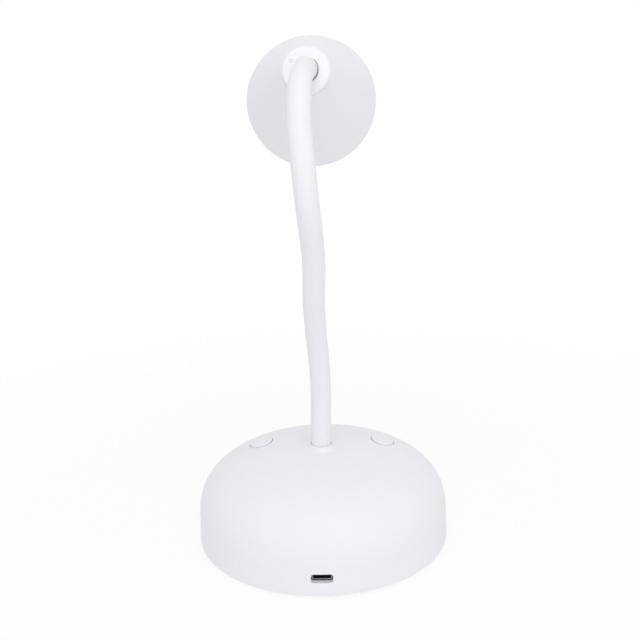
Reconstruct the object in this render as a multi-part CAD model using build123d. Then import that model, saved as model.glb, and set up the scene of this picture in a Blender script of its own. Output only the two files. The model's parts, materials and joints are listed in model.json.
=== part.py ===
# A rechargeable gooseneck reading lamp: a domed base, a bendable neck and a small conical head.
# Frame: millimetres, +Z up, origin at the centre of the base's underside, front (lit side) towards -Y.
from build123d import *
import math
import os

# ---------------------------------------------------------------- base
base_radius = 57.0
base_height = 41.3
base_wall = 2.4
wall_height = 10.0
wall_draft = 0.5
dome_side_power = 2.5
dome_rise_power = 2.86
dome_steps = 12
floor_gap = 1.0
flare_radius = 7.6
flare_rise = 2.0
lip_radius = 5.5

plate_thickness = 3.0
plate_clearance = 0.3
pad_margin = 6.0
pad_recess = 0.6
cover_screw_count = 4
cover_screw_inset = 10.0
cover_screw_first_angle = 45.0
cover_post_radius = 3.4

weight_post_gap = 2.6
weight_thickness = 5.0
weight_notch_width = 26.0
weight_notch_gap = 10.0
weight_screw_count = 3
weight_screw_margin = 4.0
weight_screw_first_angle = 210.0

# ---------------------------------------------------------------- battery and electronics
cell_radius = 9.2
cell_length = 65.0
cell_cap_radius = 3.0
cell_cap_length = 1.2
cell_edge = 0.6
cradle_floor = 1.2
cradle_side = 2.0
cradle_end_wall = 1.5
cradle_depth = 6.0
cradle_post_gap = 0.6

board_end_margin = 5.0
board_depth = 15.0
board_centre_y = -16.0
board_thickness = 1.6
board_drop = 14.0
board_post_radius = 2.6
board_post_spacing_x = 36.0
board_post_spacing_y = 9.0
chip_side = 5.0
chip_height = 1.2
chip_x = 9.0
chip_offset_y = 3.0
coil_radius = 3.0
coil_height = 3.2

button_inset = 28.5
button_centre_y = -13.0
button_half_width = 5.2
button_half_depth = 7.2
button_proud = 1.0
button_clearance = 0.25
button_flange = 1.3
button_flange_thickness = 1.2
button_post_radius = 2.2
button_edge = 0.6
button_travel = 0.3
button_gap = 0.3
switch_side = 6.0
switch_height = 3.5
plunger_radius = 1.75
plunger_rise = 0.8
plunger_depth = 1.0
plunger_spare = 0.5

usb_slot_width = 9.2
usb_slot_height = 3.9
usb_slot_corner = 1.3
usb_slot_centre_z = 8.6
usb_shell_width = 8.9
usb_shell_height = 3.2
usb_shell_depth = 7.4
usb_shell_wall = 0.3
usb_recess = 2.6
usb_tongue_width = 6.6
usb_tongue_height = 0.7
usb_tongue_length = 5.4
usb_back_wall = 1.0
usb_board_width = 18.0
usb_board_depth = 16.0
usb_board_thickness = 1.2
usb_board_inset = 13.0
usb_screw_spacing = 12.0
usb_screw_set_back = 4.5
usb_screw_length = 3.2

# ---------------------------------------------------------------- neck
neck_radius = 4.5
sleeve_bore_radius = 3.1
hose_radius = 3.0
hose_bore_radius = 1.8
lead_radius = 1.5
back_bend_radius = 123.0
back_lean = 31.5
straight_run = 52.4
crook_radius = 38.0
head_lean = 105.2
neck_yaw = 0.5
side_lean = 0.7
neck_stub = 12.0
neck_joint_count = 7
ball_gap = 0.3
socket_notch = 2.2

# ---------------------------------------------------------------- end fittings of the neck
seat_depth = 6.5
seat_clearance = 0.2
shoulder_height = 2.0
shank_radius = 4.0
shank_clearance = 0.1
shank_length = 9.5
hose_set_back = 1.0
web_thickness = 3.0
nut_flange_radius = 7.5
nut_flange_height = 1.2
nut_across_flats = 12.0
nut_height = 4.0
crown_boss_radius = 8.0

# ---------------------------------------------------------------- head
collar_radius = 9.9
collar_thickness = 2.6
collar_bevel = 0.6
collar_mouth_radius = 5.3
collar_mouth_depth = 1.5
collar_spigot_radius = 6.2
collar_pin_radius = 0.75
collar_pin_circle = 7.0
collar_pin_angle = 33.0
collar_pin_length = 4.4
cone_rear_radius = 10.3
cone_front_radius = 29.75
cone_length = 52.0
cone_wall = 1.8
cone_rear_wall = 2.4
head_boss_wall = 2.3
ring_length = 4.5
ring_lip = 1.2
ring_lip_width = 3.15
spigot_length = 1.2
spigot_wall = 0.8
lens_thickness = 2.0
lens_clearance = 0.2
lens_seat_wall = 1.45

heat_sink_inset = 9.0
heat_sink_radius = 23.2
heat_sink_thickness = 2.0
led_board_radius = 21.8
led_board_thickness = 1.6
led_chip_size = 3.5
led_chip_height = 0.8
led_ring_radii = (6.5, 12.5)
led_ring_counts = (6, 12)
lead_hole_radius = 2.0
reflector_wall = 1.0
reflector_inner_radius = 20.5
reflector_front_radius = 26.3
head_screw_count = 3
head_screw_circle = 17.8
head_post_radius = 2.5

# ---------------------------------------------------------------- screws, leads and fits
screw_radius = 1.25
screw_head_radius = 2.4
screw_head_height = 1.2
screw_clearance = 0.1
screw_drive_radius = 0.9
screw_drive_depth = 0.8
cover_screw_length = 10.0
weight_screw_length = 5.0
board_screw_length = 6.0
head_screw_length = 9.0
thin_lead_radius = 0.8
lead_bend = 4.0
lead_bow = 6.5
lead_inset = 5.0
charge_lead_x = 13.0
lead_end_gap = 0.3
charge_lead_rise = 3.3
base_lead_drop = 8.0
base_lead_bend = 6.0
small_gap = 0.1
cut_margin = 1.0

# ---------------------------------------------------------------- places that follow
pad_radius = base_radius - pad_margin
cover_screw_circle = base_radius - cover_screw_inset
cover_post_y = cover_screw_circle * math.sin(math.radians(cover_screw_first_angle))
weight_radius = cover_screw_circle - cover_post_radius - weight_post_gap
usb_board_centre_y = base_radius - usb_board_inset
usb_screw_y = usb_board_centre_y - usb_screw_set_back
weight_notch_start = usb_board_centre_y - usb_board_depth / 2 - weight_notch_gap
weight_screw_circle = weight_notch_start - weight_screw_margin
cell_centre_y = cover_post_y - cover_post_radius - cradle_post_gap - cradle_side - cell_radius
button_centre_x = base_radius - button_inset
board_width = 2 * (button_centre_x + board_end_margin)
heat_sink_start = cone_length - heat_sink_inset

plate_bottom_z = floor_gap
plate_top_z = plate_bottom_z + plate_thickness
pad_top_z = plate_bottom_z + pad_recess
weight_top_z = plate_top_z + weight_thickness
seat_z = base_height - seat_depth
web_top_z = seat_z - shoulder_height
web_bottom_z = web_top_z - web_thickness
board_top_z = base_height - board_drop
board_bottom_z = board_top_z - board_thickness
switch_top_z = board_top_z + switch_height
plunger_top_z = switch_top_z + plunger_rise
plunger_well_z = switch_top_z - plunger_depth - button_travel - plunger_spare
cradle_bottom_z = weight_top_z
cell_centre_z = cradle_bottom_z + cradle_floor + small_gap + cell_radius
charge_lead_z = cell_centre_z + cell_radius + charge_lead_rise
usb_shell_bottom_z = usb_slot_centre_z - usb_shell_height / 2
usb_board_top_z = usb_shell_bottom_z
usb_mouth_y = base_radius - wall_draft * usb_slot_centre_z / wall_height - usb_recess
screw_seat_z = pad_top_z + small_gap + screw_head_height
plate_radius = base_radius - wall_draft - base_wall - plate_clearance
lens_seat_radius = cone_front_radius - lens_seat_wall
spigot_radius = lens_seat_radius - small_gap


# ---------------------------------------------------------------- outline of the dome
def dome_height(radius):
    """Height of the outer surface above a circle of this radius."""
    share = 1 - (radius / (base_radius - wall_draft)) ** dome_side_power
    return wall_height + (base_height - wall_height) * share ** (1 / dome_rise_power)


def dome_point(step, offset):
    """A point of the domed part of the outline, moved outwards by offset."""
    angle = math.pi / 2 * step / dome_steps
    across = max(math.cos(angle), 0.0) ** (2 / dome_side_power)
    up = math.sin(angle) ** (2 / dome_rise_power)
    radius = (base_radius - wall_draft + offset) * across
    height = wall_height + (base_height - wall_height + offset) * up
    return (radius, 0, height)


def dome_solid(offset, bottom):
    """The base's outer form, grown by offset, standing on a flat bottom."""
    points = [dome_point(step, offset) for step in range(dome_steps)]
    crown = (0, 0, base_height + offset)
    foot = (base_radius + offset - wall_draft * bottom / wall_height, 0, bottom)
    dome = Spline(points + [crown], tangents=[(0, 0, 1), (-1, 0, 0)])
    sides = [Line((0, 0, bottom), foot), Line(foot, points[0]), dome, Line(crown, (0, 0, bottom))]
    return revolve(make_face(sides), Axis.Z)


# ---------------------------------------------------------------- centre line of the neck
back_bend_length = back_bend_radius * math.radians(back_lean)
crook_length = crook_radius * math.radians(back_lean + head_lean)
crook_start = back_bend_length + straight_run
neck_length = crook_start + crook_length
link_length = (neck_length - 2 * neck_stub) / (neck_joint_count - 1)
joint_stations = [neck_stub + link_length * index for index in range(neck_joint_count)]


def neck_lean(station):
    """Lean of the neck in degrees at a distance along it: 0 is upright, positive is towards the front."""
    back = back_lean * min(max(station, 0), back_bend_length) / back_bend_length
    crook = min(max(station - crook_start, 0), crook_length) / crook_length
    return crook * (back_lean + head_lean) - back


def flat_point(station):
    """Forward and upward position of the centre line in the neck's own plane."""
    lean = math.radians(back_lean)
    forward = 0.0
    up = 0.0
    bend = min(max(station, 0), back_bend_length) / back_bend_radius
    forward -= back_bend_radius * (1 - math.cos(bend))
    up += min(station, 0) + back_bend_radius * math.sin(bend)
    run = min(max(station - back_bend_length, 0), straight_run)
    forward -= run * math.sin(lean)
    up += run * math.cos(lean)
    turn = min(max(station - crook_start, 0), crook_length) / crook_radius - lean
    forward += crook_radius * (math.cos(lean) - math.cos(turn))
    up += crook_radius * (math.sin(turn) + math.sin(lean))
    beyond = max(station - neck_length, 0)
    forward += beyond * math.sin(math.radians(head_lean))
    up += beyond * math.cos(math.radians(head_lean))
    return forward, up


yaw = math.radians(neck_yaw)
forward_direction = Vector(-math.sin(yaw), -math.cos(yaw), 0)
side_direction = Vector(math.cos(yaw), -math.sin(yaw), 0)


def leaned(item, station):
    """Everything above the lowest joint leans a little to one side about that joint."""
    if station < joint_stations[0]:
        return item
    forward, up = flat_point(joint_stations[0])
    pivot = forward_direction * forward + Vector(0, 0, base_height + up)
    return item.rotate(Axis(pivot, forward_direction), -side_lean)


def upright_plane(station):
    """Plane square to the neck before the side lean: its normal runs up the neck."""
    forward, up = flat_point(station)
    lean = math.radians(neck_lean(station))
    origin = forward_direction * forward + Vector(0, 0, base_height + up)
    normal = forward_direction * math.sin(lean) + Vector(0, 0, math.cos(lean))
    return Plane(origin=origin, x_dir=side_direction, z_dir=normal)


def neck_wire(start, end):
    """Centre line of the neck between two stations: arcs and straight runs, each tangent to the next."""
    breaks = [0, back_bend_length, crook_start, neck_length]
    stations = [start] + [place for place in breaks if start < place < end] + [end]
    edges = []
    for low, high in zip(stations, stations[1:]):
        first, middle, last = (upright_plane(place).origin for place in (low, (low + high) / 2, high))
        bent = abs(neck_lean(high) - neck_lean(low)) > 0
        edges.append(ThreePointArc(first, middle, last) if bent else Line(first, last))
    return Wire(edges)


def tube_along(start, end, outer, bore):
    """A round tube, or a rod where the bore is 0, along the neck."""
    section = Circle(outer) - Circle(bore) if bore > 0 else Circle(outer)
    return sweep(upright_plane(start) * section, path=neck_wire(start, end))


def ball_end(station, outer, bore):
    """The ball-shaped end of a layer of the neck, centred on the joint at its lower side."""
    top = math.sqrt(neck_radius**2 - bore**2)
    rim = math.sqrt(max(neck_radius**2 - outer**2, 0))
    middle_radius = (outer + bore) / 2
    middle = (middle_radius, 0, math.sqrt(neck_radius**2 - middle_radius**2))
    sides = [Line((bore, 0, 0), (outer, 0, 0))]
    if rim > 0:
        sides.append(Line((outer, 0, 0), (outer, 0, rim)))
    sides.append(ThreePointArc((outer, 0, rim), middle, (bore, 0, top)))
    sides.append(Line((bore, 0, top), (bore, 0, 0)))
    return upright_plane(station) * revolve(make_face(sides), Axis.Z)


def socket_ball(station):
    return upright_plane(station) * Sphere(neck_radius + ball_gap)


def neck_layer(start, end, outer, bore, socket_below, ball_above):
    """One length of a layer of the neck, hollow below and ball-ended above where it meets a joint."""
    first = start + socket_notch if socket_below else start
    layer = tube_along(first, end, outer, bore)
    if socket_below:
        layer -= socket_ball(start)
    if ball_above:
        layer += ball_end(end, outer, bore)
    return leaned(layer, start)


# ---------------------------------------------------------------- common hardware
def screw(length, head_radius=screw_head_radius):
    """A pan-head screw along -Z with its head above Z = 0."""
    shank = Pos(0, 0, -length / 2) * Cylinder(screw_radius, length)
    head = Pos(0, 0, screw_head_height / 2) * Cylinder(head_radius, screw_head_height)
    head = fillet(head.edges().group_by(Axis.Z)[-1], screw_head_height / 3)
    drive = Pos(0, 0, screw_head_height) * Cylinder(screw_drive_radius, 2 * screw_drive_depth)
    return head + shank - drive


def upright_cylinder(radius, bottom, top):
    return Pos(0, 0, (bottom + top) / 2) * Cylinder(radius, top - bottom)


def screw_places(circle, count, first_angle):
    return list(PolarLocations(circle, count, first_angle))


def end_fitting():
    """Threaded fitting crimped on the hose: its shoulder stands on Z = 0, its shank hangs below."""
    shoulder = upright_cylinder(neck_radius + seat_clearance / 2, 0, shoulder_height)
    shank = upright_cylinder(shank_radius, -shank_length, 0)
    top = shoulder_height + cut_margin
    return shoulder + shank - upright_cylinder(hose_radius + small_gap, -shank_length - cut_margin, top)


def lock_nut():
    """Flanged hexagon nut against the web that the fitting stands on."""
    top = -web_thickness
    flange = upright_cylinder(nut_flange_radius, top - nut_flange_height, top)
    hexagon = extrude(RegularPolygon(nut_across_flats / math.sqrt(3), 6), nut_height)
    bore = upright_cylinder(shank_radius + shank_clearance, top - nut_height - cut_margin, top + cut_margin)
    return flange + Pos(0, 0, top - nut_height) * hexagon - bore


# ---------------------------------------------------------------- base casing
def button_outline(grow):
    return Ellipse(button_half_width + grow, button_half_depth + grow)


def button_prism(side, grow, bottom, top):
    place = Pos(side * button_centre_x, button_centre_y, bottom)
    return place * extrude(button_outline(grow), top - bottom)


def post_places():
    grid = GridLocations(board_post_spacing_x, board_post_spacing_y, 2, 2)
    return [Pos(0, board_centre_y) * place for place in grid]


def usb_slot(width, height, corner, start_y, end_y):
    """Rounded slot along Y."""
    outline = RectangleRounded(width, height, corner)
    plane = Plane(origin=(0, start_y, usb_slot_centre_z), x_dir=(1, 0, 0), z_dir=(0, 1, 0))
    return extrude(plane * outline, end_y - start_y)


def neck_flare():
    """Small concave flare that rises to the neck on top of the dome."""
    start = (flare_radius, 0, dome_height(flare_radius))
    end = (lip_radius, 0, base_height + flare_rise)
    flare = TangentArc(start, end, tangent=(-1, 0, 0))
    below = base_height - base_wall / 2
    above = base_height + flare_rise
    corners = Polyline(end, (0, 0, above), (0, 0, below), (flare_radius, 0, below), start)
    return revolve(make_face([flare, corners]), Axis.Z)


def cover_screw_places():
    return screw_places(cover_screw_circle, cover_screw_count, cover_screw_first_angle)


def weight_screw_places():
    return screw_places(weight_screw_circle, weight_screw_count, weight_screw_first_angle)


def usb_screw_places():
    return [Pos(0, usb_screw_y) * place for place in GridLocations(usb_screw_spacing, 1, 2, 1)]


def make_base_shell():
    hollow = dome_solid(-base_wall, plate_bottom_z - cut_margin)
    supports = upright_cylinder(crown_boss_radius, web_bottom_z, base_height)
    for place in cover_screw_places():
        supports += place * upright_cylinder(cover_post_radius, plate_top_z + small_gap, base_height)
    for place in post_places():
        supports += place * upright_cylinder(board_post_radius, board_top_z, base_height)
    inner_form = dome_solid(-base_wall / 2, plate_bottom_z)
    shell = dome_solid(0, plate_bottom_z) - hollow + (supports & inner_form) + neck_flare()
    shell -= upright_cylinder(neck_radius + seat_clearance, web_top_z, base_height + 2 * flare_rise)
    shell -= upright_cylinder(shank_radius + shank_clearance, web_bottom_z - cut_margin, base_height)
    pilot_radius = screw_radius + small_gap / 2
    cover_pilot = upright_cylinder(pilot_radius, 0, screw_seat_z + cover_screw_length + small_gap)
    for place in cover_screw_places():
        shell -= place * cover_pilot
    board_pilot = upright_cylinder(pilot_radius, 0, board_bottom_z + board_screw_length + small_gap)
    for place in post_places():
        shell -= place * board_pilot
    for side in (-1, 1):
        shell -= button_prism(side, button_clearance, switch_top_z, base_height)
    slot_end = base_radius + cut_margin
    return shell - usb_slot(usb_slot_width, usb_slot_height, usb_slot_corner, weight_radius, slot_end)


def make_bottom_plate():
    plate = upright_cylinder(plate_radius, plate_bottom_z, plate_top_z)
    plate -= upright_cylinder(pad_radius + small_gap, plate_bottom_z - cut_margin, pad_top_z)
    through = upright_cylinder(screw_radius + screw_clearance, pad_top_z, plate_top_z + cut_margin)
    sunk = upright_cylinder(screw_head_radius + screw_clearance, plate_bottom_z, screw_seat_z)
    for place in cover_screw_places() + weight_screw_places():
        plate -= place * through
        plate -= place * sunk
    for place in usb_screw_places():
        tip = usb_board_top_z - usb_screw_length - small_gap
        plate -= place * upright_cylinder(screw_radius + small_gap / 2, tip, plate_top_z + cut_margin)
    return plate


def make_foot_pad():
    return upright_cylinder(pad_radius, 0, pad_top_z)


def screws_from_below(places, seat, length):
    """Screws driven upwards, with their heads below the seat."""
    return [place * Pos(0, 0, seat) * Rot(180, 0, 0) * screw(length) for place in places]


def screws_from_above(places, seat, length):
    return [place * Pos(0, 0, seat) * screw(length) for place in places]


def make_counterweight():
    weight = upright_cylinder(weight_radius, plate_top_z, weight_top_z)
    notch_depth = weight_radius - weight_notch_start + cut_margin
    notch = Box(weight_notch_width, notch_depth, 2 * weight_top_z)
    weight -= Pos(0, weight_notch_start + notch_depth / 2) * notch
    for place in weight_screw_places():
        weight -= place * upright_cylinder(screw_radius + small_gap / 2, 0, 2 * weight_top_z)
    return weight


# ---------------------------------------------------------------- battery and boards
def cell_place():
    return Pos(0, cell_centre_y, cell_centre_z) * Rot(0, 90, 0)


def make_battery_cell():
    body = Cylinder(cell_radius, cell_length)
    body = fillet(body.edges(), cell_edge)
    cap = upright_cylinder(cell_cap_radius, cell_length / 2 - cell_edge, cell_length / 2 + cell_cap_length)
    return cell_place() * (body + cap)


def make_battery_cradle():
    inner_length = cell_length + 2 * cell_cap_length + 2 * small_gap
    length = inner_length + 2 * cradle_end_wall
    width = 2 * (cell_radius + cradle_side)
    height = cradle_floor + cradle_depth
    block = Pos(0, cell_centre_y, cradle_bottom_z + height / 2) * Box(length, width, height)
    return block - cell_place() * Cylinder(cell_radius + small_gap, inner_length)


def rod_along(points, bend, radius):
    """A round lead through the points, with an arc of the same radius at each bend."""
    path = FilletPolyline(*points, radius=bend)
    start = Plane(origin=path @ 0, z_dir=path % 0)
    return sweep(start * Circle(radius), path=path)


def make_battery_leads():
    leads = []
    outer_x = max(cell_length / 2 + lead_bow, board_width / 2 + lead_inset)
    for side, terminal in ((-1, cell_length / 2), (1, cell_length / 2 + cell_cap_length)):
        points = [
            (side * terminal, cell_centre_y, cell_centre_z),
            (side * outer_x, cell_centre_y, cell_centre_z),
            (side * outer_x, board_centre_y, cell_centre_z),
            (side * (board_width / 2 - lead_inset), board_centre_y, cell_centre_z),
            (side * (board_width / 2 - lead_inset), board_centre_y, board_bottom_z),
        ]
        leads.append(rod_along(points, lead_bend, thin_lead_radius))
    return leads


def make_control_board():
    centre = Pos(0, board_centre_y, board_bottom_z + board_thickness / 2)
    board = centre * Box(board_width, board_depth, board_thickness)
    for place in post_places():
        board -= place * upright_cylinder(screw_radius + screw_clearance, 0, base_height)
    return board


def make_board_components():
    chip = Box(chip_side, chip_side, chip_height)
    driver = Pos(chip_x, board_centre_y - chip_offset_y, board_top_z + chip_height / 2) * chip
    coil = Pos(-chip_x, board_centre_y - chip_offset_y) * upright_cylinder(
        coil_radius, board_top_z, board_top_z + coil_height
    )
    charger = Pos(0, usb_screw_y, usb_board_top_z + chip_height / 2) * chip
    return [driver, coil, charger]


def button_place(side):
    return Pos(side * button_centre_x, button_centre_y)


def make_switch_housings():
    housings = []
    for side in (-1, 1):
        body = Box(switch_side, switch_side, switch_height)
        body = button_place(side) * Pos(0, 0, board_top_z + switch_height / 2) * body
        well = upright_cylinder(plunger_radius + small_gap, plunger_well_z, switch_top_z + cut_margin)
        housings.append(body - button_place(side) * well)
    return housings


def make_switch_plunger(side):
    plunger = upright_cylinder(plunger_radius, switch_top_z - plunger_depth, plunger_top_z)
    return button_place(side) * plunger


def make_button(side):
    """Key cap that follows the dome, with a flange that keeps it in and a post down to its switch."""
    inner_skin = -base_wall - button_gap
    under_skin = inner_skin - button_flange_thickness
    cap = button_prism(side, 0, plunger_top_z, base_height + cut_margin) & dome_solid(button_proud, 0)
    cap = fillet(cap.edges().group_by(Axis.Z)[-1], button_edge)
    flange = button_prism(side, button_flange, plunger_top_z, base_height) & dome_solid(inner_skin, 0)
    post = button_place(side) * upright_cylinder(button_post_radius, plunger_top_z, base_height - base_wall)
    post = post & dome_solid(inner_skin, 0)
    return (cap + flange) - dome_solid(under_skin, 0) + post


def make_usb_board():
    centre = Pos(0, usb_board_centre_y, usb_board_top_z - usb_board_thickness / 2)
    board = centre * Box(usb_board_width, usb_board_depth, usb_board_thickness)
    for place in usb_screw_places():
        board -= place * upright_cylinder(screw_radius + screw_clearance, 0, base_height)
    return board


def make_usb_socket_shell():
    back = usb_mouth_y - usb_shell_depth
    corner = usb_shell_height / 2 - small_gap
    shell = usb_slot(usb_shell_width, usb_shell_height, corner, back, usb_mouth_y)
    inner_width = usb_shell_width - 2 * usb_shell_wall
    inner_height = usb_shell_height - 2 * usb_shell_wall
    inner_corner = corner - usb_shell_wall
    inner_back = back + usb_back_wall
    return shell - usb_slot(inner_width, inner_height, inner_corner, inner_back, usb_mouth_y + cut_margin)


def make_usb_socket_tongue():
    start = usb_mouth_y - usb_shell_depth + usb_back_wall
    centre = Pos(0, start + usb_tongue_length / 2, usb_slot_centre_z)
    return centre * Box(usb_tongue_width, usb_tongue_length, usb_tongue_height)


def make_charge_lead():
    points = [
        (-lead_inset, usb_board_centre_y, usb_board_top_z),
        (-lead_inset, usb_board_centre_y, cell_centre_z),
        (-charge_lead_x, usb_screw_y - lead_inset, charge_lead_z),
        (-charge_lead_x, nut_flange_radius, charge_lead_z),
        (-charge_lead_x, board_centre_y + board_depth / 2 + lead_end_gap, board_top_z),
    ]
    return rod_along(points, lead_bend, thin_lead_radius)


# ---------------------------------------------------------------- neck
fitting_end = seat_depth + shoulder_height + shank_length
hose_reach = fitting_end - hose_set_back


def make_base_lead():
    """Lead from the board up to the lowest joint of the neck."""
    upper = neck_layer(-hose_reach, joint_stations[0], lead_radius, 0, False, True)
    start = base_height - hose_reach
    points = [
        (0, 0, start),
        (0, 0, start - base_lead_drop),
        (0, board_centre_y, start - base_lead_drop),
        (0, board_centre_y, board_bottom_z),
    ]
    return upper + rod_along(points, base_lead_bend, lead_radius)


def make_foot_layers():
    end = joint_stations[0]
    return {
        "neck_sleeve_foot": neck_layer(-seat_depth, end, neck_radius, sleeve_bore_radius, False, True),
        "neck_hose_foot": neck_layer(-hose_reach, end, hose_radius, hose_bore_radius, False, True),
    }


def make_link_layers():
    layers = {}
    for index, (low, high) in enumerate(zip(joint_stations, joint_stations[1:]), start=1):
        layers[f"neck_sleeve_{index}"] = neck_layer(low, high, neck_radius, sleeve_bore_radius, True, True)
        layers[f"neck_hose_{index}"] = neck_layer(low, high, hose_radius, hose_bore_radius, True, True)
        layers[f"neck_lead_{index}"] = neck_layer(low, high, lead_radius, 0, True, True)
    return layers


def make_tip_layers():
    start = joint_stations[-1]
    sleeve_end = neck_length + seat_depth
    hose_end = neck_length + hose_reach
    lead_end = neck_length + heat_sink_start + heat_sink_thickness - small_gap
    return {
        "neck_sleeve_tip": neck_layer(start, sleeve_end, neck_radius, sleeve_bore_radius, True, False),
        "neck_hose_tip": neck_layer(start, hose_end, hose_radius, hose_bore_radius, True, False),
        "head_lead": neck_layer(start, lead_end, lead_radius, 0, True, False),
    }


# ---------------------------------------------------------------- head, drawn from its collar's face
def in_head(item):
    """Puts a piece drawn along +Z from the collar's face at the end of the neck."""
    return leaned(upright_plane(neck_length) * item, neck_length)


def cone_radius(height):
    share = (height - collar_thickness) / (cone_length - collar_thickness)
    return cone_rear_radius + (cone_front_radius - cone_rear_radius) * share


def cone_inner_radius(height):
    slope = math.atan((cone_front_radius - cone_rear_radius) / (cone_length - collar_thickness))
    return cone_radius(height) - cone_wall / math.cos(slope)


def turned(points):
    """A turned piece from the corners of its half section, each a radius and a height."""
    outline = Polyline(*[(radius, 0, height) for radius, height in points], close=True)
    return revolve(make_face(outline), Axis.Z)


head_web_start = seat_depth + shoulder_height
head_web_end = head_web_start + web_thickness
cone_rear_end = collar_thickness + cone_rear_wall
lens_end = cone_length + ring_length - ring_lip
lens_start = lens_end - lens_thickness
led_board_start = heat_sink_start + heat_sink_thickness
led_board_end = led_board_start + led_board_thickness


def head_screw_places():
    return screw_places(head_screw_circle, head_screw_count, 0)


def make_head_collar():
    flange = upright_cylinder(collar_radius, 0, collar_thickness)
    flange = chamfer(flange.edges().group_by(Axis.Z)[0], collar_bevel)
    spigot = upright_cylinder(collar_spigot_radius, collar_thickness, head_web_end)
    seat = upright_cylinder(neck_radius + seat_clearance, -cut_margin, head_web_start)
    seat += upright_cylinder(collar_mouth_radius, -cut_margin, collar_mouth_depth)
    hole = upright_cylinder(shank_radius + shank_clearance, 0, head_web_end + cut_margin)
    return flange + spigot - seat - hole - collar_pin(small_gap / 2)


def collar_pin(grow):
    """Locating pin through the collar into the rear wall of the cone."""
    pin = upright_cylinder(collar_pin_radius + grow, -grow, collar_pin_length + grow)
    return Rot(0, 0, collar_pin_angle) * Pos(collar_pin_circle, 0) * pin


def make_head_shell():
    rear = collar_thickness
    outer = [(0, rear), (cone_rear_radius, rear), (cone_front_radius, cone_length), (0, cone_length)]
    hollow_rear = cone_inner_radius(cone_rear_end)
    hollow_front = cone_inner_radius(cone_length)
    hollow = [(0, cone_rear_end), (hollow_rear, cone_rear_end), (hollow_front, cone_length)]
    hollow.append((0, cone_length))
    cone = turned(outer)
    posts = upright_cylinder(collar_spigot_radius + head_boss_wall, rear, head_web_end)
    for place in head_screw_places():
        posts += place * upright_cylinder(head_post_radius, cone_rear_end, heat_sink_start)
    shell = cone - turned(hollow) + (posts & cone)
    spigot = upright_cylinder(spigot_radius, cone_length - spigot_length, cone_length + spigot_length)
    spigot -= upright_cylinder(spigot_radius - spigot_wall, 0, cone_length + 2 * spigot_length)
    shell += spigot
    shell -= upright_cylinder(collar_spigot_radius + small_gap, 0, head_web_end + cut_margin)
    for place in head_screw_places():
        tip = led_board_end - head_screw_length - small_gap
        shell -= place * upright_cylinder(screw_radius + small_gap / 2, tip, heat_sink_start + cut_margin)
    return shell - collar_pin(small_gap / 2)


def disc_on_posts(radius, start, end, centre_hole):
    disc = upright_cylinder(radius, start, end)
    if centre_hole:
        disc -= upright_cylinder(centre_hole, 0, end + cut_margin)
    for place in head_screw_places():
        disc -= place * upright_cylinder(screw_radius + screw_clearance, 0, end + cut_margin)
    return disc


def make_led_chips():
    chips = []
    for circle, count in zip(led_ring_radii, led_ring_counts):
        for place in PolarLocations(circle, count):
            chip = Box(led_chip_size, led_chip_size, led_chip_height)
            chips.append(place * Pos(0, 0, led_board_end + led_chip_height / 2) * chip)
    return chips


def make_reflector():
    rear = led_board_end + small_gap
    front = lens_start - small_gap
    corners = [
        (reflector_inner_radius, rear),
        (reflector_inner_radius + reflector_wall, rear),
        (reflector_front_radius + reflector_wall, front),
        (reflector_front_radius, front),
    ]
    return turned(corners)


def make_diffuser_lens():
    return upright_cylinder(lens_seat_radius - lens_clearance, lens_start, lens_end)


def make_front_ring():
    end = cone_length + ring_length
    ring = upright_cylinder(cone_front_radius, cone_length, end)
    ring = fillet(ring.edges().group_by(Axis.Z)[-1], ring_lip / 2)
    ring -= upright_cylinder(lens_seat_radius, cone_length - cut_margin, lens_end)
    return ring - upright_cylinder(cone_front_radius - ring_lip_width, cone_length, end + cut_margin)


def make_head_parts():
    fitting_place = Pos(0, 0, head_web_start) * Rot(180, 0, 0)
    screws = screws_from_above(head_screw_places(), led_board_end, head_screw_length)
    parts = {
        "head_collar": make_head_collar(),
        "collar_pin": collar_pin(0),
        "neck_fitting_upper": fitting_place * end_fitting(),
        "neck_nut_upper": fitting_place * lock_nut(),
        "head_shell": make_head_shell(),
        "heat_sink": disc_on_posts(heat_sink_radius, heat_sink_start, led_board_start, lead_hole_radius),
        "led_board": disc_on_posts(led_board_radius, led_board_start, led_board_end, 0),
        "led_chips": Compound(children=make_led_chips()),
        "head_screws": Compound(children=screws),
        "reflector": make_reflector(),
        "diffuser_lens": make_diffuser_lens(),
        "front_ring": make_front_ring(),
    }
    return {name: in_head(item) for name, item in parts.items()}


def make_base_parts():
    fitting_place = Pos(0, 0, web_top_z)
    board_screws = screws_from_below(post_places(), board_bottom_z, board_screw_length)
    board_screws += screws_from_above(usb_screw_places(), usb_board_top_z, usb_screw_length)
    cover_screws = screws_from_below(cover_screw_places(), screw_seat_z, cover_screw_length)
    weight_screws = screws_from_below(weight_screw_places(), screw_seat_z, weight_screw_length)
    return {
        "base_shell": make_base_shell(),
        "bottom_plate": make_bottom_plate(),
        "foot_pad": make_foot_pad(),
        "cover_screws": Compound(children=cover_screws),
        "counterweight": make_counterweight(),
        "weight_screws": Compound(children=weight_screws),
        "battery_cell": make_battery_cell(),
        "battery_cradle": make_battery_cradle(),
        "battery_leads": Compound(children=make_battery_leads()),
        "control_board": make_control_board(),
        "board_components": Compound(children=make_board_components()),
        "board_screws": Compound(children=board_screws),
        "switch_housings": Compound(children=make_switch_housings()),
        "usb_board": make_usb_board(),
        "usb_socket_shell": make_usb_socket_shell(),
        "usb_socket_tongue": make_usb_socket_tongue(),
        "charge_lead": make_charge_lead(),
        "neck_fitting_lower": fitting_place * end_fitting(),
        "neck_nut_lower": fitting_place * lock_nut(),
        "base_lead": make_base_lead(),
        "power_button": make_button(1),
        "mode_button": make_button(-1),
        "power_switch_plunger": make_switch_plunger(1),
        "mode_switch_plunger": make_switch_plunger(-1),
    }


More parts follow.
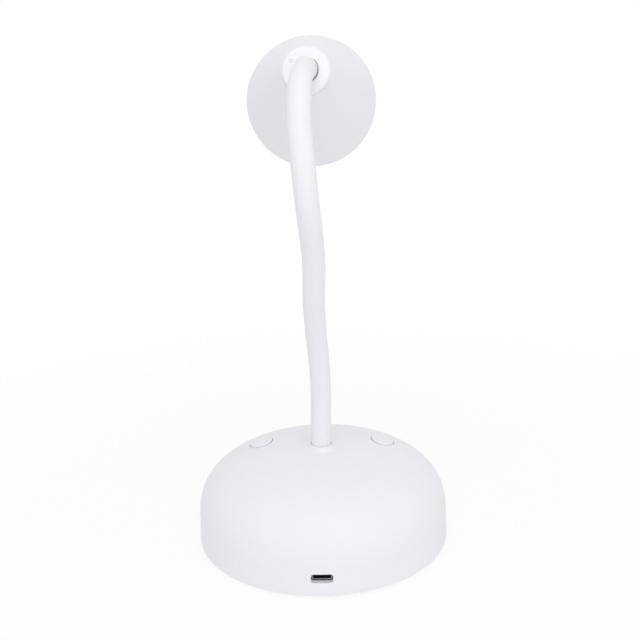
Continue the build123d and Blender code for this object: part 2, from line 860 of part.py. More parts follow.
def make_parts():
    parts = make_base_parts()
    parts.update(make_foot_layers())
    parts.update(make_link_layers())
    parts.update(make_tip_layers())
    parts.update(make_head_parts())
    return parts


os.makedirs("parts", exist_ok=True)
for node, solid in make_parts().items():
    export_step(solid, f"parts/{node}.step")
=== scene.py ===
# A rechargeable reading lamp, dressed and lit round its solid model.
# Metres, +Z up. The head shines towards -Y, and the charging inlet faces +Y.
import json
import math

import bpy
from mathutils import Matrix, Vector


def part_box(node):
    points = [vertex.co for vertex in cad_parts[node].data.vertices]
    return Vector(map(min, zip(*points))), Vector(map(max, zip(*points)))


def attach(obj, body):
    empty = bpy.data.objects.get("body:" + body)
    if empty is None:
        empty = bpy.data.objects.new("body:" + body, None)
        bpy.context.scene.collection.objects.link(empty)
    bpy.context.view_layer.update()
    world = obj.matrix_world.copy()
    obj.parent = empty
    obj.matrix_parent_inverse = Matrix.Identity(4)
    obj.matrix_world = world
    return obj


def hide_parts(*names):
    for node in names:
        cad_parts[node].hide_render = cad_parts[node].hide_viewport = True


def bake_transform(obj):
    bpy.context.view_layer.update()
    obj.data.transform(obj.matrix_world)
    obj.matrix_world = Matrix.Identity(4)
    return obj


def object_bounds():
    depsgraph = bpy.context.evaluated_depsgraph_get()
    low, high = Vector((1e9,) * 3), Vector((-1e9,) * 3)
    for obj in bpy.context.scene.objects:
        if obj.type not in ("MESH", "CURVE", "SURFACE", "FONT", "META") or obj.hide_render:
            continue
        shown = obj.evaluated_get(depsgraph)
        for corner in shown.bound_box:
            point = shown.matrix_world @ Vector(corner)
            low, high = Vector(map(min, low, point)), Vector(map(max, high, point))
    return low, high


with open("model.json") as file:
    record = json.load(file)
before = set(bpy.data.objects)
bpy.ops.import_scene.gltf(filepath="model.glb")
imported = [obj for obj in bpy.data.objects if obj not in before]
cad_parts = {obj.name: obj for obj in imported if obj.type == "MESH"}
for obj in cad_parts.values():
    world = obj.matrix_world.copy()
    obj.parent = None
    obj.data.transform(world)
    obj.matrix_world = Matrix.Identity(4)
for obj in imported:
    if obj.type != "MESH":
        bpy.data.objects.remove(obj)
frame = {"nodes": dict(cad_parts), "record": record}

solid_box = [list(corner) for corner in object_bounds()]
MM = 0.001

# ---------------------------------------------------------------- sizes, in metres and degrees
sleeve_radius = 4.5 * MM
sleeve_bore = 3.1 * MM
hose_radius = 3.0 * MM
hose_bore = 1.8 * MM
winding_pitch = 1.6 * MM
winding_depth = 0.25 * MM
back_bend_radius = 123.0 * MM
back_lean = 31.5
straight_run = 52.4 * MM
crook_radius = 38.0 * MM
head_lean = 105.2
neck_yaw = 0.5
side_lean = 0.7
neck_stub = 12.0 * MM
seat_depth = 6.5 * MM
hose_reach = 17.0 * MM
bend_reach = 12.0 * MM
lead_radius = 1.5 * MM
lead_end_gap = 2.0 * MM
lead_bore = 0.5 * MM
# Each hump has its station on the neck, how far it reaches to each side, and its height.
neck_waves = (
    (36 * MM, 30 * MM, -0.8 * MM),
    (106 * MM, 32 * MM, -1.1 * MM),
    (166 * MM, 40 * MM, 1.75 * MM),
)
crook_sag = (195 * MM, 15.5 * MM, -1.1 * MM)

# Mesh fineness of the neck's layers: rings along each tube, and sides round it.
line_step = 0.5 * MM
sleeve_mesh = {"Rings": 64, "Sides": 56}
hose_mesh = {"Rings": 150, "Sides": 20}
lead_mesh = {"Rings": 64, "Sides": 16}
merge_distance = 0.001 * MM
crease_angle = 50

led_rings = {"inner": (6.5 * MM, 6), "outer": (12.5 * MM, 12)}
led_seat = 46.6 * MM
led_half = 1.75 * MM
led_height = 0.8 * MM
led_well_half = 1.3 * MM
led_well_depth = 0.35 * MM
led_edge = 0.12 * MM
gel_gap = 0.03 * MM

contact_pitch = 0.5 * MM
contact_count = 12
contact_half_width = 0.14 * MM
contact_half_length = 1.8 * MM
contact_height = 0.04 * MM
contact_edge = 0.03 * MM
contact_set_back = 0.4 * MM

camera_turn = 1.1
camera_pitch = 15.9
camera_roll = 1.55
camera_distance = 416.0 * MM
camera_aside = 1.7 * MM
camera_above = 97.5 * MM
camera_lens_mm = 49.98

plain_white = (1, 1, 1, 1)
world_level = 0.79
# Each lamp has its place, the point it is turned to, the length of its square side, and its power in watts.
lamps = {
    "soft_key": ((0, 0.45, 0.65), (0, 0, 0.1), 0.5, 0.95),
    "soft_side": ((-0.25, 0.6, 0.35), (0, 0, 0.1), 0.5, 0.39),
}
floor_radius = 4.0
floor_corners = 64
floor_fade_start = 0.1
floor_fade_end = 0.4
floor_white_share = 0.85


# ---------------------------------------------------------------- the neck's centre line
back_bend_length = back_bend_radius * math.radians(back_lean)
crook_start = back_bend_length + straight_run
neck_length = crook_start + crook_radius * math.radians(back_lean + head_lean)
joints = frame["record"]["behaviour"]["joints"]
neck_joints = [joint for joint in joints if joint["name"].startswith("neck")]
link_count = len(neck_joints) - 1
link_length = (neck_length - 2 * neck_stub) / link_count
base_height = neck_joints[0]["pos_m"][2] - neck_stub


def upright_frame(station):
    """Place on the neck's centre line before its sideways lean: X to the side, Z up the neck."""
    lean = math.radians(back_lean)
    bend = min(max(station, 0), back_bend_length) / back_bend_radius
    run = min(max(station - back_bend_length, 0), straight_run)
    turn = min(max(station - crook_start, 0), neck_length - crook_start) / crook_radius
    beyond = max(station - neck_length, 0)
    tilt = turn - bend
    forward = crook_radius * (math.cos(lean) - math.cos(turn - lean)) - run * math.sin(lean)
    forward += beyond * math.sin(tilt) - back_bend_radius * (1 - math.cos(bend))
    up = crook_radius * (math.sin(turn - lean) + math.sin(lean)) + run * math.cos(lean)
    up += beyond * math.cos(tilt) + min(station, 0) + back_bend_radius * math.sin(bend)
    place = Matrix.Translation((0, -forward, base_height + up)) @ Matrix.Rotation(tilt, 4, "X")
    return Matrix.Rotation(-math.radians(neck_yaw), 4, "Z") @ place


def neck_frame(station):
    """Place on the neck's centre line, which leans a little to one side above its lowest joint."""
    if station < neck_stub:
        return upright_frame(station)
    pivot = Matrix.Translation(upright_frame(neck_stub).translation)
    yaw = math.radians(neck_yaw)
    forward = Vector((-math.sin(yaw), -math.cos(yaw), 0))
    lean = Matrix.Rotation(-math.radians(side_lean), 4, forward)
    return pivot @ lean @ pivot.inverted() @ upright_frame(station)


def wave(station, middle, reach, height):
    """Height of a smooth hump in the neck's line, which dies away to nothing this far from its middle."""
    share = min(abs(station - middle) / reach, 1)
    return height * (1 + math.cos(math.pi * share)) / 2


def bent_point(station):
    """Point on the neck's line as a hand left it: slight sideways waves, and a flatter end to its crook."""
    aside = sum(wave(station, *hump) for hump in neck_waves)
    return neck_frame(station) @ Vector((aside, wave(station, *crook_sag), 0))


# ---------------------------------------------------------------- node helpers
def add(tree, kind, inputs=None, **settings):
    """Adds one node: settings are its properties, and each input takes a value or another node's output."""
    node = tree.nodes.new(kind)
    for name, value in settings.items():
        setattr(node, name, value)
    for name, value in (inputs or {}).items():
        if isinstance(value, bpy.types.NodeSocket):
            tree.links.new(value, node.inputs[name])
        else:
            node.inputs[name].default_value = value
    return node


def linear(code):
    """Linear colour of an sRGB hex value."""
    channels = [int(code[index:index + 2], 16) / 255 for index in (1, 3, 5)]
    return tuple(c / 12.92 if c <= 0.04045 else ((c + 0.055) / 1.055) ** 2.4 for c in channels) + (1.0,)


def speckle(tree, size, detail=2.0, stretch=(1, 1, 1)):
    """Noise from 0 to 1 whose patches are about this size, longer along an axis whose stretch is above 1."""
    place = add(tree, "ShaderNodeTexCoord")
    scale = tuple(1 / (size * share) for share in stretch)
    spread = add(tree, "ShaderNodeMapping", {"Vector": place.outputs["Object"], "Scale": scale})
    noise = add(tree, "ShaderNodeTexNoise", {
        "Vector": spread.outputs["Vector"], "Scale": 1.0, "Detail": detail,
    })
    return noise.outputs["Fac"]


def surface(name, colours, mottle, roughness, grain, depth, stretch=(1, 1, 1), **values):
    """A finish whose colour wanders between two values, with a fine grain in its gloss and its relief.

    values are the shader's own settings, the same all over the piece."""
    material = bpy.data.materials.new(name)
    material.use_nodes = True
    tree = material.node_tree
    tree.nodes.clear()
    tint = add(tree, "ShaderNodeMix", {
        0: speckle(tree, mottle), 6: linear(colours[0]), 7: linear(colours[1]),
    }, data_type="RGBA")
    fine = speckle(tree, grain, detail=3.0, stretch=stretch)
    gloss = add(tree, "ShaderNodeMapRange", {"Value": fine, "To Min": roughness[0], "To Max": roughness[1]})
    relief = add(tree, "ShaderNodeBump", {"Height": fine, "Distance": depth})
    shader = add(tree, "ShaderNodeBsdfPrincipled", {
        "Base Color": tint.outputs[2],
        "Roughness": gloss.outputs["Result"],
        "Normal": relief.outputs["Normal"],
        **values,
    })
    add(tree, "ShaderNodeOutputMaterial", {"Surface": shader.outputs["BSDF"]})
    return material


# ---------------------------------------------------------------- finishes
# Injection-moulded ABS from a spark-eroded mould: an even matt grain that spreads every highlight wide.
# The real grain is about 0.1 mm, too fine to show, so it is drawn at 0.5 mm.
satin_abs = surface(
    "satin_moulded_abs", colours=("#EFEEF3", "#F1F0F5"), mottle=30 * MM, roughness=(0.52, 0.62),
    grain=0.5 * MM, depth=0.006 * MM, IOR=1.53,
)
# ABS from a polished mould: a clear, slightly wavy gloss, and a tint warmer than the satin casing.
polished_abs = surface(
    "polished_moulded_abs", colours=("#EFEDF1", "#F1EFF3"), mottle=12 * MM, roughness=(0.16, 0.24),
    grain=2.5 * MM, depth=0.004 * MM, IOR=1.53,
)
# Acetal rod, cropped: a pale grey, waxy gloss.
cropped_acetal = surface(
    "cropped_acetal", colours=("#E6E6EA", "#EAEAEE"), mottle=2 * MM, roughness=(0.30, 0.40),
    grain=0.3 * MM, depth=0.002 * MM, IOR=1.48,
)
# Platinum-cured silicone tube, extruded: dead matt, with a faint mottle for draw lines too fine to show.
matte_silicone = surface(
    "extruded_matte_silicone", colours=("#EFEEF3", "#F1F0F5"), mottle=25 * MM, roughness=(0.60, 0.72),
    grain=0.6 * MM, depth=0.008 * MM, IOR=1.41,
)
# Sponge silicone, die cut: a dark skin with open cells of about 0.4 mm.
pad_rubber = surface(
    "sponge_silicone_pad", colours=("#2A2A2D", "#343438"), mottle=8 * MM, roughness=(0.75, 0.92),
    grain=0.4 * MM, depth=0.05 * MM, IOR=1.41,
)
# Zinc-plated steel, cold headed: bright and faintly blue, with rolled marks 0.3 mm apart.
plated_steel = surface(
    "zinc_plated_steel", colours=("#B9BDC4", "#CFD2D6"), mottle=3 * MM, roughness=(0.24, 0.36),
    grain=0.3 * MM, depth=0.003 * MM, stretch=(1, 1, 6), Metallic=1.0,
)
# Hot-rolled plate under black oxide: a dull dark scale with pits of about 0.8 mm.
oxide_steel = surface(
    "black_oxide_steel_plate", colours=("#3A3C40", "#4B4E53"), mottle=9 * MM, roughness=(0.42, 0.60),
    grain=0.8 * MM, depth=0.02 * MM, Metallic=0.9,
)
# Heat-shrunk PVC film: a clear blue gloss, drawn tight with long faint wrinkles.
shrunk_film = surface(
    "heat_shrunk_film", colours=("#2F6DA8", "#3576B2"), mottle=15 * MM, roughness=(0.20, 0.30),
    grain=1.2 * MM, depth=0.02 * MM, stretch=(5, 1, 1), IOR=1.53,
)
# Glass-filled nylon, moulded: near black, with short pale fibres 0.4 mm long under the skin.
filled_nylon = surface(
    "glass_filled_nylon", colours=("#1B1B1D", "#2A2A2C"), mottle=0.8 * MM, roughness=(0.45, 0.60),
    grain=0.4 * MM, depth=0.01 * MM, stretch=(3, 1, 1), IOR=1.53,
)
# Green solder mask on woven glass-epoxy: a soft gloss, uneven every 0.4 mm from the glass cloth under it.
solder_mask = surface(
    "green_solder_mask", colours=("#125A33", "#1B6B3F"), mottle=2.0 * MM, roughness=(0.28, 0.40),
    grain=0.4 * MM, depth=0.01 * MM, IOR=1.5,
)
# Epoxy moulding compound: a black matt with fine filler grain.
moulded_epoxy = surface(
    "moulded_epoxy", colours=("#161617", "#222224"), mottle=1.5 * MM, roughness=(0.50, 0.65),
    grain=0.15 * MM, depth=0.005 * MM, IOR=1.55,
)
# PVC wire jacket, extruded: a soft red gloss, faintly uneven.
red_jacket = surface(
    "red_pvc_jacket", colours=("#B3201A", "#C02A22"), mottle=5 * MM, roughness=(0.32, 0.45),
    grain=0.5 * MM, depth=0.01 * MM, IOR=1.53,
)
# PVC flex jacket, extruded: a white soft gloss.
white_jacket = surface(
    "white_pvc_jacket", colours=("#E4E4E4", "#EDEDED"), mottle=6 * MM, roughness=(0.32, 0.45),
    grain=0.5 * MM, depth=0.01 * MM, IOR=1.53,
)
# Spring steel wire, cold drawn and wound: bright metal with fine marks 0.4 mm apart.
spring_steel = surface(
    "cold_drawn_spring_steel", colours=("#A9ACB1", "#C4C6CA"), mottle=4 * MM, roughness=(0.22, 0.36),
    grain=0.4 * MM, depth=0.004 * MM, Metallic=1.0,
)
# Free-cutting brass, turned: a warm yellow with tool marks about 0.2 mm apart.
turned_brass = surface(
    "turned_brass", colours=("#C9A254", "#D9B56A"), mottle=4 * MM, roughness=(0.18, 0.30),
    grain=0.2 * MM, depth=0.004 * MM, stretch=(6, 6, 1), Metallic=1.0,
)
# Stainless strip, deep drawn: a bright grey with fine scratches along the draw.
drawn_stainless = surface(
    "drawn_stainless_strip", colours=("#C4C5C8", "#D4D5D7"), mottle=2 * MM, roughness=(0.18, 0.30),
    grain=0.15 * MM, depth=0.002 * MM, stretch=(1, 8, 1), Metallic=1.0,
)
# Aluminium sheet, stamped: a pale grey with the mill's rolling lines.
rolled_aluminium = surface(
    "rolled_aluminium_sheet", colours=("#CDD0D4", "#DCDEE0"), mottle=10 * MM, roughness=(0.26, 0.40),
    grain=0.4 * MM, depth=0.004 * MM, stretch=(12, 1, 1), Metallic=1.0,
)
# Phosphor in clear silicone gel: a saturated yellow with a wet gloss and grains of phosphor.
phosphor_gel = surface(
    "phosphor_gel", colours=("#E8C23A", "#F2D35A"), mottle=0.3 * MM, roughness=(0.10, 0.18),
    grain=0.2 * MM, depth=0.004 * MM, IOR=1.41,
)
# White solder mask on aluminium-backed board: a warm white soft gloss.
white_mask = surface(
    "white_solder_mask", colours=("#EDECE6", "#F2F1EC"), mottle=5 * MM, roughness=(0.30, 0.42),
    grain=0.4 * MM, depth=0.006 * MM, IOR=1.5,
)
# Polypropylene filled white for reflectors: very bright, with the gloss of a polished mould.
reflector_white = surface(
    "reflector_polypropylene", colours=("#F4F4F3", "#F7F7F6"), mottle=14 * MM, roughness=(0.18, 0.26),
    grain=1.0 * MM, depth=0.004 * MM, IOR=1.49,
)
# Opal polycarbonate with a frosted face: a warm milky white, soft at the edges as light soaks some 1 mm in.
opal_lens = surface(
    "frosted_opal_polycarbonate", colours=("#F4F2EE", "#F7F5F2"), mottle=18 * MM,
    roughness=(0.34, 0.44), grain=0.3 * MM, depth=0.006 * MM,
    **{"IOR": 1.585, "Subsurface Weight": 0.3, "Subsurface Radius": (1, 1, 1), "Subsurface Scale": 1 * MM},
)
# Gold flash over nickel, plated: a warm bright metal, slightly uneven.
gold_flash = surface(
    "gold_flash", colours=("#E2B850", "#EFCB6B"), mottle=1 * MM, roughness=(0.15, 0.25), grain=0.1 * MM,
    depth=0.001 * MM, Metallic=1.0,
)

finish_of_slot = {
    "white_abs": satin_abs,
    "collar_gloss": polished_abs,
    "silicone": matte_silicone,
    "pad_rubber": pad_rubber,
    "pin_white": cropped_acetal,
    "screw_steel": plated_steel,
    "weight_steel": oxide_steel,
    "cell_wrap": shrunk_film,
    "dark_plastic": filled_nylon,
    "board": solder_mask,
    "chip_black": moulded_epoxy,
    "lead_jacket": red_jacket,
    "lead_white": white_jacket,
    "hose_steel": spring_steel,
    "brass": turned_brass,
    "socket_steel": drawn_stainless,
    "aluminium": rolled_aluminium,
    "led_yellow": phosphor_gel,
    "white_board": white_mask,
    "reflector_white": reflector_white,
    "opal": opal_lens,
}
for part in frame["record"]["subparts"]:
    for place in frame["nodes"][part["node"]].material_slots:
        place.material = finish_of_slot[part["material_slot"]]


# ---------------------------------------------------------------- pieces made by nodes
def new_tree(name, sizes):
    """A geometry tree with a geometry input, the named sizes as inputs, and one geometry output."""
    tree = bpy.data.node_groups.new(name, "GeometryNodeTree")
    tree.interface.new_socket("Geometry", in_out="INPUT", socket_type="NodeSocketGeometry")
    for label, kind in sizes:
        tree.interface.new_socket(label, in_out="INPUT", socket_type="NodeSocket" + kind)
    tree.interface.new_socket("Geometry", in_out="OUTPUT", socket_type="NodeSocketGeometry")
    return tree


def grown(name, host, tree, sizes, place=None):
    """The mesh that the tree grows from the host mesh with these sizes, as a plain piece put in its place."""
    seed = bpy.data.objects.new(name + "_host", host)
    bpy.context.scene.collection.objects.link(seed)
    modifier = seed.modifiers.new("grow", "NODES")
    modifier.node_group = tree
    for item in tree.interface.items_tree:
        if item.in_out == "INPUT" and item.name in sizes:
            modifier[item.identifier] = sizes[item.name]
    ready = seed.evaluated_get(bpy.context.evaluated_depsgraph_get())
    mesh = bpy.data.meshes.new_from_object(ready)
    bpy.data.objects.remove(seed)
    mesh.transform(place or Matrix.Identity(4))
    mesh.name = name
    piece = bpy.data.objects.new(name, mesh)
    bpy.context.scene.collection.objects.link(piece)
    return piece


def work_out(tree, kind, known, steps):
    """Adds a node of one kind for each step, and keeps its output in the known values by the step's name.

    A step is its name, its operation, and terms: numbers, names of known values, or None to skip an input."""
    for name, operation, *terms in steps:
        inputs = {index: known.get(term, term) for index, term in enumerate(terms) if term is not None}
        known[name] = add(tree, kind, inputs, operation=operation).outputs[0]


def tube_tree():
    """A round tube with closed ends along the host's line, with an optional helical winding in its outside.

    The trim is left out at each end of the line, so that the end rings lie square to the whole neck."""
    numbers = ("Radius", "Bore", "Start", "Trim", "Pitch", "Depth")
    counts = ("Rings", "Sides")
    tree = new_tree("tube_along_a_line", [
        *((label, "Float") for label in numbers), *((label, "Int") for label in counts),
        ("Side", "Vector"), ("Material", "Material"),
    ])
    size = add(tree, "NodeGroupInput").outputs
    line = add(tree, "GeometryNodeMeshToCurve", {"Mesh": size["Geometry"]}).outputs["Curve"]
    spot = add(tree, "ShaderNodeSeparateXYZ", {0: add(tree, "GeometryNodeInputPosition").outputs[0]}).outputs
    known = {label: size[label] for label in (*numbers, *counts, "Side")}
    known["whole length"] = add(tree, "GeometryNodeCurveLength", {"Curve": line}).outputs["Length"]
    known["sheet x"], known["sheet y"] = spot["X"], spot["Y"]
    # The tube starts as a flat sheet one unit wide. Its rows run up the outside, down the bore and back to
    # the first row, and its columns run round.
    work_out(tree, "ShaderNodeMath", known, (
        ("length", "MULTIPLY_ADD", "Trim", -2, "whole length"),
        ("last row", "MULTIPLY", "Rings", 2),
        ("rows", "ADD", "last row", 1),
        ("columns", "ADD", "Sides", 1),
        ("share of rows", "ADD", "sheet x", 0.5),
        ("rows passed", "MULTIPLY", "share of rows", "last row"),
        ("row", "ROUND", "rows passed"),
        ("row before last", "SUBTRACT", "last row", 1),
        ("row from the end", "SUBTRACT", "row before last", "row"),
        ("nearer row", "MINIMUM", "row", "row from the end"),
        ("ring", "MAXIMUM", "nearer row", 0),
        ("last ring", "SUBTRACT", "Rings", 1),
        ("share of length", "DIVIDE", "ring", "last ring"),
        ("station", "MULTIPLY", "share of length", "length"),
        ("going up", "LESS_THAN", "row", "Rings"),
        ("just before last row", "SUBTRACT", "last row", 0.5),
        ("closing", "GREATER_THAN", "row", "just before last row"),
        ("outside", "MAXIMUM", "going up", "closing"),
        ("turn", "ADD", "sheet y", 0.5),
        ("angle", "MULTIPLY", "turn", math.tau),
        ("run", "ADD", "station", "Start"),
        ("windings", "DIVIDE", "run", "Pitch"),
        ("wound angle", "MULTIPLY", "windings", math.tau),
        ("winding phase", "SUBTRACT", "wound angle", "angle"),
        ("winding wave", "COSINE", "winding phase"),
        ("groove", "MULTIPLY_ADD", "winding wave", -0.5, 0.5),
        ("groove depth", "MULTIPLY", "groove", "Depth"),
        ("crest", "SUBTRACT", "Radius", "groove depth"),
        ("wall", "SUBTRACT", "crest", "Bore"),
        ("radius", "MULTIPLY_ADD", "outside", "wall", "Bore"),
        ("cosine", "COSINE", "angle"),
        ("sine", "SINE", "angle"),
        ("reach to side", "MULTIPLY", "radius", "cosine"),
        ("reach out", "MULTIPLY", "radius", "sine"),
        ("along", "ADD", "station", "Trim"),
        ("around", "MULTIPLY", "angle", "Radius"),
    ))
    place = add(tree, "GeometryNodeSampleCurve", {"Curves": line, "Length": known["along"]}, mode="LENGTH")
    known["centre"], known["tangent"] = place.outputs["Position"], place.outputs["Tangent"]
    work_out(tree, "ShaderNodeVectorMath", known, (
        ("square to both", "CROSS_PRODUCT", "tangent", "Side"),
        ("out", "NORMALIZE", "square to both"),
        ("aside", "CROSS_PRODUCT", "out", "tangent"),
        ("side step", "SCALE", "aside", None, None, "reach to side"),
        ("out step", "SCALE", "out", None, None, "reach out"),
        ("from centre", "ADD", "side step", "out step"),
        ("there", "ADD", "centre", "from centre"),
    ))
    sheet = add(tree, "GeometryNodeMeshGrid", {
        "Size X": 1.0, "Size Y": 1.0, "Vertices X": known["rows"], "Vertices Y": known["columns"],
    })
    unrolled = add(tree, "ShaderNodeCombineXYZ", {"X": known["around"], "Y": known["run"]})
    marked = add(tree, "GeometryNodeStoreNamedAttribute", {
        "Geometry": sheet.outputs["Mesh"], "Name": "UVMap", "Value": unrolled.outputs[0],
    }, data_type="FLOAT2", domain="CORNER")
    bent = add(tree, "GeometryNodeSetPosition", {"Geometry": marked.outputs[0], "Position": known["there"]})
    closed = add(tree, "GeometryNodeMergeByDistance", {
        "Geometry": bent.outputs[0], "Distance": merge_distance,
    })
    bend = add(tree, "GeometryNodeInputMeshEdgeAngle").outputs["Unsigned Angle"]
    soft = add(tree, "FunctionNodeCompare", {0: bend, 1: math.radians(crease_angle)}, operation="LESS_THAN")
    smooth = add(tree, "GeometryNodeSetShadeSmooth", {
        "Geometry": closed.outputs[0], "Shade Smooth": soft.outputs[0],
    }, domain="EDGE")
    whole = add(tree, "GeometryNodeRealizeInstances", {"Geometry": smooth.outputs[0]})
    dressed = add(tree, "GeometryNodeSetMaterial", {
        "Geometry": whole.outputs[0], "Material": size["Material"],
    })
    add(tree, "NodeGroupOutput", {"Geometry": dressed.outputs[0]})
    return tree


def repeat_tree():
    """Copies of the host mesh at equal steps round a ring, or along a line where the ring's radius is 0."""
    tree = new_tree("copies_at_equal_steps", [
        ("Radius", "Float"), ("Pitch", "Float"), ("Count", "Int"), ("Material", "Material"),
    ])
    size = add(tree, "NodeGroupInput").outputs
    ring = add(tree, "GeometryNodeMeshCircle", {"Vertices": size["Count"], "Radius": size["Radius"]})
    step = add(tree, "ShaderNodeCombineXYZ", {"X": size["Pitch"]})
    row = add(tree, "GeometryNodeMeshLine", {"Count": size["Count"], "Offset": step.outputs[0]})
    on_line = add(tree, "FunctionNodeCompare", {0: size["Radius"], 1: merge_distance}, operation="LESS_THAN")
    points = add(tree, "GeometryNodeSwitch", {
        "Switch": on_line.outputs[0], "False": ring.outputs["Mesh"], "True": row.outputs["Mesh"],
    }, input_type="GEOMETRY")
    outward = add(tree, "FunctionNodeAlignRotationToVector", {
        "Vector": add(tree, "GeometryNodeInputPosition").outputs[0],
    }, axis="X")
    placed = add(tree, "GeometryNodeInstanceOnPoints", {
        "Points": points.outputs[0], "Instance": size["Geometry"], "Rotation": outward.outputs[0],
    })
    whole = add(tree, "GeometryNodeRealizeInstances", {"Geometry": placed.outputs[0]})
    dressed = add(tree, "GeometryNodeSetMaterial", {
        "Geometry": whole.outputs[0], "Material": size["Material"],
    })
    add(tree, "NodeGroupOutput", {"Geometry": dressed.outputs[0]})
    return tree


tubes = tube_tree()
copies = repeat_tree()


def centre_line(first, last):
    """The neck's centre line between two stations, as a mesh of short straight edges."""
    count = round((last - first) / line_step)
    stations = [first + (last - first) * index / count for index in range(count + 1)]
    points = [bent_point(station) for station in stations]
    line = bpy.data.meshes.new("centre_line")
    line.from_pydata(points, [(index, index + 1) for index in range(count)], [])
    return line


link_numbers = range(1, link_count + 1)
side = neck_frame(neck_length).to_3x3() @ Vector((1, 0, 0))
joint_stations = [neck_stub + link_length * index for index in range(len(neck_joints))]
mid_lengths = [station + link_length / 2 for station in joint_stations[:-1]]


def neck_tubes(layer, first_joint, ends, stood_for, sizes):
    """One layer of the neck as a run of tubes, each running over one joint and met mid-length by the next.

    ends are the stations where the tubes begin and end, and stood_for the CAD nodes that each replaces."""
    for index, nodes in enumerate(stood_for, first_joint):
        name = f"neck_{layer}_over_joint_{index + 1}"
        first, last = ends[index - first_joint], ends[index - first_joint + 1]
        line = centre_line(first - line_step, last + line_step)
        piece = grown(name, line, tubes, {**sizes, "Side": side, "Start": first, "Trim": line_step})
        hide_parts(*nodes)
        below = neck_frame(joint_stations[index] - bend_reach).translation
        above = neck_frame(joint_stations[index] + bend_reach).translation
        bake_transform(piece)


def foot_to_tip(layer):
    """The layer's CAD lengths from the foot to the tip, shared among the tubes."""
    shared = [[f"neck_{layer}_foot"], *([f"neck_{layer}_{number}"] for number in link_numbers)]
    shared[-1].append(f"neck_{layer}_tip")
    return shared


plain_wall = {"Pitch": 1.0, "Depth": 0.0}
sleeve_ends = [-seat_depth, *mid_lengths, neck_length + seat_depth]
neck_tubes("sleeve", 0, sleeve_ends, foot_to_tip("sleeve"), {
    "Radius": sleeve_radius, "Bore": sleeve_bore, "Material": matte_silicone, **sleeve_mesh, **plain_wall,
})
hose_ends = [-hose_reach, *mid_lengths, neck_length + hose_reach]
neck_tubes("hose", 0, hose_ends, foot_to_tip("hose"), {
    "Radius": hose_radius, "Bore": hose_bore, "Material": spring_steel, **hose_mesh,
    "Pitch": winding_pitch, "Depth": winding_depth,
})
lead_ends = [joint_stations[0] + lead_end_gap, *mid_lengths[1:-1], joint_stations[-1] - lead_end_gap]
lead_lengths = [[f"neck_lead_{number}"] for number in link_numbers]
lead_lengths[-2:] = [lead_lengths[-2] + lead_lengths[-1]]
neck_tubes("lead", 1, lead_ends, lead_lengths, {
    "Radius": lead_radius, "Bore": lead_bore, "Material": white_jacket, **lead_mesh, **plain_wall,
})


# ---------------------------------------------------------------- light emitting packages and socket contacts
def stacked(name, levels):
    """A closed block through level rectangles, each given by its half width, half depth and height."""
    signs = ((-1, -1), (1, -1), (1, 1), (-1, 1))
    sides = len(signs)
    corners = [
        (across * half_width, along * half_depth, height)
        for half_width, half_depth, height in levels
        for across, along in signs
    ]
    faces = [tuple(reversed(range(sides)))]
    for low in range(0, len(corners) - sides, sides):
        for index in range(sides):
            beside = (index + 1) % sides
            faces.append((low + index, low + beside, low + sides + beside, low + sides + index))
    faces.append(tuple(range(len(corners) - sides, len(corners))))
    mesh = bpy.data.meshes.new(name)
    mesh.from_pydata(corners, [], faces)
    return mesh


def led_package():
    """White package with bevelled edges and a square well in its lit face."""
    shoulder, well_floor = led_height - led_edge, led_height - led_well_depth
    levels = (
        (led_half, 0), (led_half, shoulder), (led_half - led_edge, led_height),
        (led_well_half, led_height), (led_well_half - led_edge, well_floor),
    )
    return stacked("led_package", [(half, half, height) for half, height in levels])


def phosphor_pad():
    """Gel that fills the well to just below its rim, a little domed."""
    foot = led_height - led_well_depth + gel_gap
    levels = (
        (led_well_half - led_edge - gel_gap, foot), (led_well_half - gel_gap, led_height - gel_gap),
        (led_well_half / 2, led_height),
    )
    return stacked("phosphor_pad", [(half, half, height) for half, height in levels])


led_place = neck_frame(neck_length) @ Matrix.Translation((0, 0, led_seat))
for ring, (ring_radius, ring_count) in led_rings.items():
    for part, host, finish, material_slot in (
        ("led_packages", led_package(), reflector_white, "reflector_white"),
        ("phosphor_pads", phosphor_pad(), phosphor_gel, "led_yellow"),
    ):
        sizes = {"Radius": ring_radius, "Count": ring_count, "Material": finish}
        piece = grown(f"{part}_{ring}_ring", host, copies, sizes, led_place)
        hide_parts("led_chips")
        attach(piece, "head")

tongue_low, tongue_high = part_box("usb_socket_tongue")
contact_y = tongue_high[1] - contact_set_back - contact_half_length
row_start = -contact_pitch * (contact_count - 1) / 2
contact = [
    (contact_half_width, contact_half_length, 0),
    (contact_half_width, contact_half_length, contact_height / 2),
    (contact_half_width - contact_edge, contact_half_length - contact_edge, contact_height),
]
upper_place = Matrix.Translation((row_start, contact_y, tongue_high[2]))
lower_place = Matrix.Translation((-row_start, contact_y, tongue_low[2])) @ Matrix.Rotation(math.pi, 4, "Y")
for row, place in (("upper", upper_place), ("lower", lower_place)):
    sizes = {"Pitch": contact_pitch, "Count": contact_count, "Material": gold_flash}
    piece = grown(f"socket_contacts_{row}_row", stacked("contact", contact), copies, sizes, place)
    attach(piece, "base")


# ---------------------------------------------------------------- room, light and camera
def light(name, place, aim, side_length, power):
    """A square soft light at a place, turned to its aim."""
    lamp = bpy.data.lights.new(name, "AREA")
    lamp.shape = "SQUARE"
    lamp.size = side_length
    lamp.energy = power
    holder = bpy.data.objects.new(name, lamp)
    holder.location = place
    holder.rotation_euler = (Vector(aim) - Vector(place)).to_track_quat("-Z", "Y").to_euler()
    bpy.context.scene.collection.objects.link(holder)


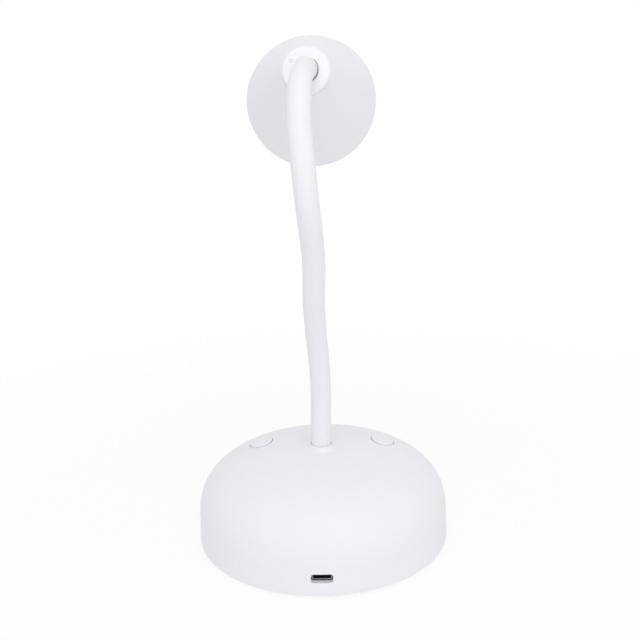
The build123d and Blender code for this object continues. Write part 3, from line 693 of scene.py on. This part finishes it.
def seen_directly(tree):
    """1 for what the camera, a reflection or a clear piece shows, and 0 for light that falls on things."""
    known = dict(add(tree, "ShaderNodeLightPath").outputs.items())
    work_out(tree, "ShaderNodeMath", known, (
        ("camera or gloss", "MAXIMUM", "Is Camera Ray", "Is Glossy Ray"),
        ("seen", "MAXIMUM", "camera or gloss", "Is Transmission Ray"),
    ))
    return known["seen"]


def studio_world(level):
    """Even light from all round, with a plain white backdrop behind it."""
    world = bpy.data.worlds.new("white_studio")
    world.use_nodes = True
    tree = world.node_tree
    tree.nodes.clear()
    falling = add(tree, "ShaderNodeBackground", {"Color": plain_white, "Strength": level})
    backdrop = add(tree, "ShaderNodeBackground", {"Color": plain_white, "Strength": 1.0})
    mix = add(tree, "ShaderNodeMixShader", {
        0: seen_directly(tree), 1: falling.outputs[0], 2: backdrop.outputs[0],
    })
    add(tree, "ShaderNodeOutputWorld", {"Surface": mix.outputs[0]})
    bpy.context.scene.world = world


def pale_floor():
    """A round pale floor that keeps the lamp's shadow and fades into the white backdrop away from it."""
    mesh = bpy.data.meshes.new("pale_floor")
    angles = [math.tau * index / floor_corners for index in range(floor_corners)]
    level = solid_box[0][2]
    corners = [(floor_radius * math.cos(angle), floor_radius * math.sin(angle), level) for angle in angles]
    mesh.from_pydata(corners, [], [list(range(floor_corners))])
    floor = bpy.data.objects.new("pale_floor", mesh)
    bpy.context.scene.collection.objects.link(floor)
    material = bpy.data.materials.new("white_studio_paper")
    material.use_nodes = True
    tree = material.node_tree
    tree.nodes.clear()
    place = add(tree, "ShaderNodeTexCoord").outputs["Object"]
    away = add(tree, "ShaderNodeVectorMath", {0: place}, operation="LENGTH").outputs["Value"]
    far = add(tree, "ShaderNodeMapRange", {
        "Value": away, "From Min": floor_fade_start, "From Max": floor_fade_end, "To Min": floor_white_share,
    }, interpolation_type="SMOOTHSTEP").outputs["Result"]
    share = add(tree, "ShaderNodeMath", {0: far, 1: seen_directly(tree)}, operation="MULTIPLY").outputs[0]
    paper = add(tree, "ShaderNodeBsdfDiffuse", {"Color": linear("#F7F7F8")})
    white = add(tree, "ShaderNodeEmission", {"Color": plain_white, "Strength": 1.0})
    mix = add(tree, "ShaderNodeMixShader", {0: share, 1: paper.outputs[0], 2: white.outputs[0]})
    add(tree, "ShaderNodeOutputMaterial", {"Surface": mix.outputs[0]})
    mesh.materials.append(material)


def place_camera():
    """Behind the lamp and a little above it, turned a touch, with the base low in the frame."""
    pitch, roll = math.radians(camera_pitch), math.radians(camera_roll)
    ahead = Vector((0, -math.cos(pitch), -math.sin(pitch)))
    level_up = Vector((0, -math.sin(pitch), math.cos(pitch)))
    level_right = Vector((-1, 0, 0))
    right = math.cos(roll) * level_right - math.sin(roll) * level_up
    up = math.sin(roll) * level_right + math.cos(roll) * level_up
    lens = bpy.data.cameras.new("view")
    lens.lens = camera_lens_mm
    camera = bpy.data.objects.new("view", lens)
    place = -camera_distance * ahead - camera_aside * right + camera_above * up
    turned = Matrix((right, up, -ahead)).transposed().to_4x4()
    round_the_lamp = Matrix.Rotation(math.radians(camera_turn), 4, "Z")
    camera.matrix_world = round_the_lamp @ Matrix.Translation(place) @ turned
    bpy.context.scene.collection.objects.link(camera)
    bpy.context.scene.camera = camera


studio_world(world_level)
for name, settings in lamps.items():
    light(name, *settings)
pale_floor()
place_camera()
bpy.context.scene.view_settings.view_transform = "Standard"
